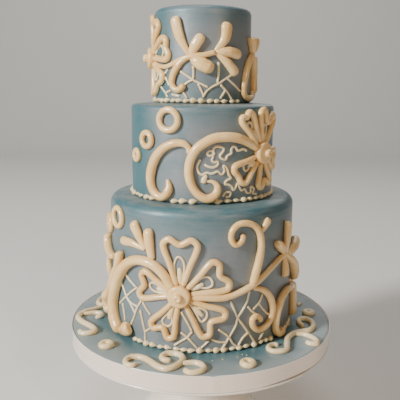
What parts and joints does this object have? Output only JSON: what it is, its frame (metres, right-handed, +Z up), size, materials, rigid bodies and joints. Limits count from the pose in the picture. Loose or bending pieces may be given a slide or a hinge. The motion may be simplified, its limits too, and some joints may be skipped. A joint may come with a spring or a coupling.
{
  "type": "wedding cake on stand",
  "caption": "Three-tier round wedding cake in blue icing with raised ivory scrollwork and flowers, on a ribboned board and a pedestal stand.",
  "frame": {"origin": "on the floor under the middle of the stand's foot", "axes": "+Z up through the middle of the tiers; the pictured front faces -Y, with +X to its right"},
  "size_m": [0.306, 0.306, 0.4785],
  "materials": {
    "blue_icing": "pearl satin",
    "ivory_icing": "satin",
    "ribbon": "satin ribbon",
    "board_core": "matte",
    "stand": "glazed"
  },
  "bodies": {
    "root": {"stand": "stand", "board": "board_core", "board_icing": "blue_icing", "ribbon": "ribbon", "board_scroll_front": "ivory_icing", "board_scroll_left": "ivory_icing", "board_scroll_right": "ivory_icing", "board_ring_left": "ivory_icing", "board_ring_front": "ivory_icing", "board_ring_right": "ivory_icing", "board_scroll_back": "ivory_icing", "board_scroll_back_left": "ivory_icing", "bottom_flower_disc_front": "ivory_icing", "bottom_petal_1_front": "ivory_icing", "bottom_petal_2_front": "ivory_icing", "bottom_petal_3_front": "ivory_icing", "bottom_petal_4_front": "ivory_icing", "bottom_petal_5_front": "ivory_icing", "bottom_great_scroll_front": "ivory_icing", "bottom_question_scroll_front": "ivory_icing", "bottom_lower_scroll_front": "ivory_icing", "bottom_vine_front": "ivory_icing", "bottom_right_sprig_front": "ivory_icing", "bottom_arch_scroll_front": "ivory_icing", "bottom_twin_leaf_front": "ivory_icing", "bottom_side_scroll_front": "ivory_icing", "bottom_leaf_3_front": "ivory_icing", "bottom_drop_front": "ivory_icing", "bottom_ring_1_front": "ivory_icing", "bottom_ring_2_front": "ivory_icing", "bottom_left_drop_front": "ivory_icing", "bottom_hook_front": "ivory_icing", "bottom_flower_back": "ivory_icing", "bottom_great_scroll_back": "ivory_icing", "bottom_question_scroll_back": "ivory_icing", "bottom_lower_scroll_back": "ivory_icing", "bottom_vine_back": "ivory_icing", "bottom_arch_scroll_back": "ivory_icing", "bottom_side_scroll_back": "ivory_icing", "tier_bottom": "blue_icing", "middle_flower_front": "ivory_icing", "middle_centre_scroll_front": "ivory_icing", "middle_left_scroll_front": "ivory_icing", "middle_ring_1_front": "ivory_icing", "middle_ring_2_front": "ivory_icing", "middle_ring_3_front": "ivory_icing", "middle_flower_back": "ivory_icing", "middle_centre_scroll_back": "ivory_icing", "middle_left_scroll_back": "ivory_icing", "middle_ring_1_back": "ivory_icing", "tier_middle": "blue_icing", "top_flower_front": "ivory_icing", "top_spray_front": "ivory_icing", "top_curl_front": "ivory_icing", "top_arch_front": "ivory_icing", "top_flower_back": "ivory_icing", "top_spray_back": "ivory_icing", "tier_top": "blue_icing"}
  },
  "joints": []
}
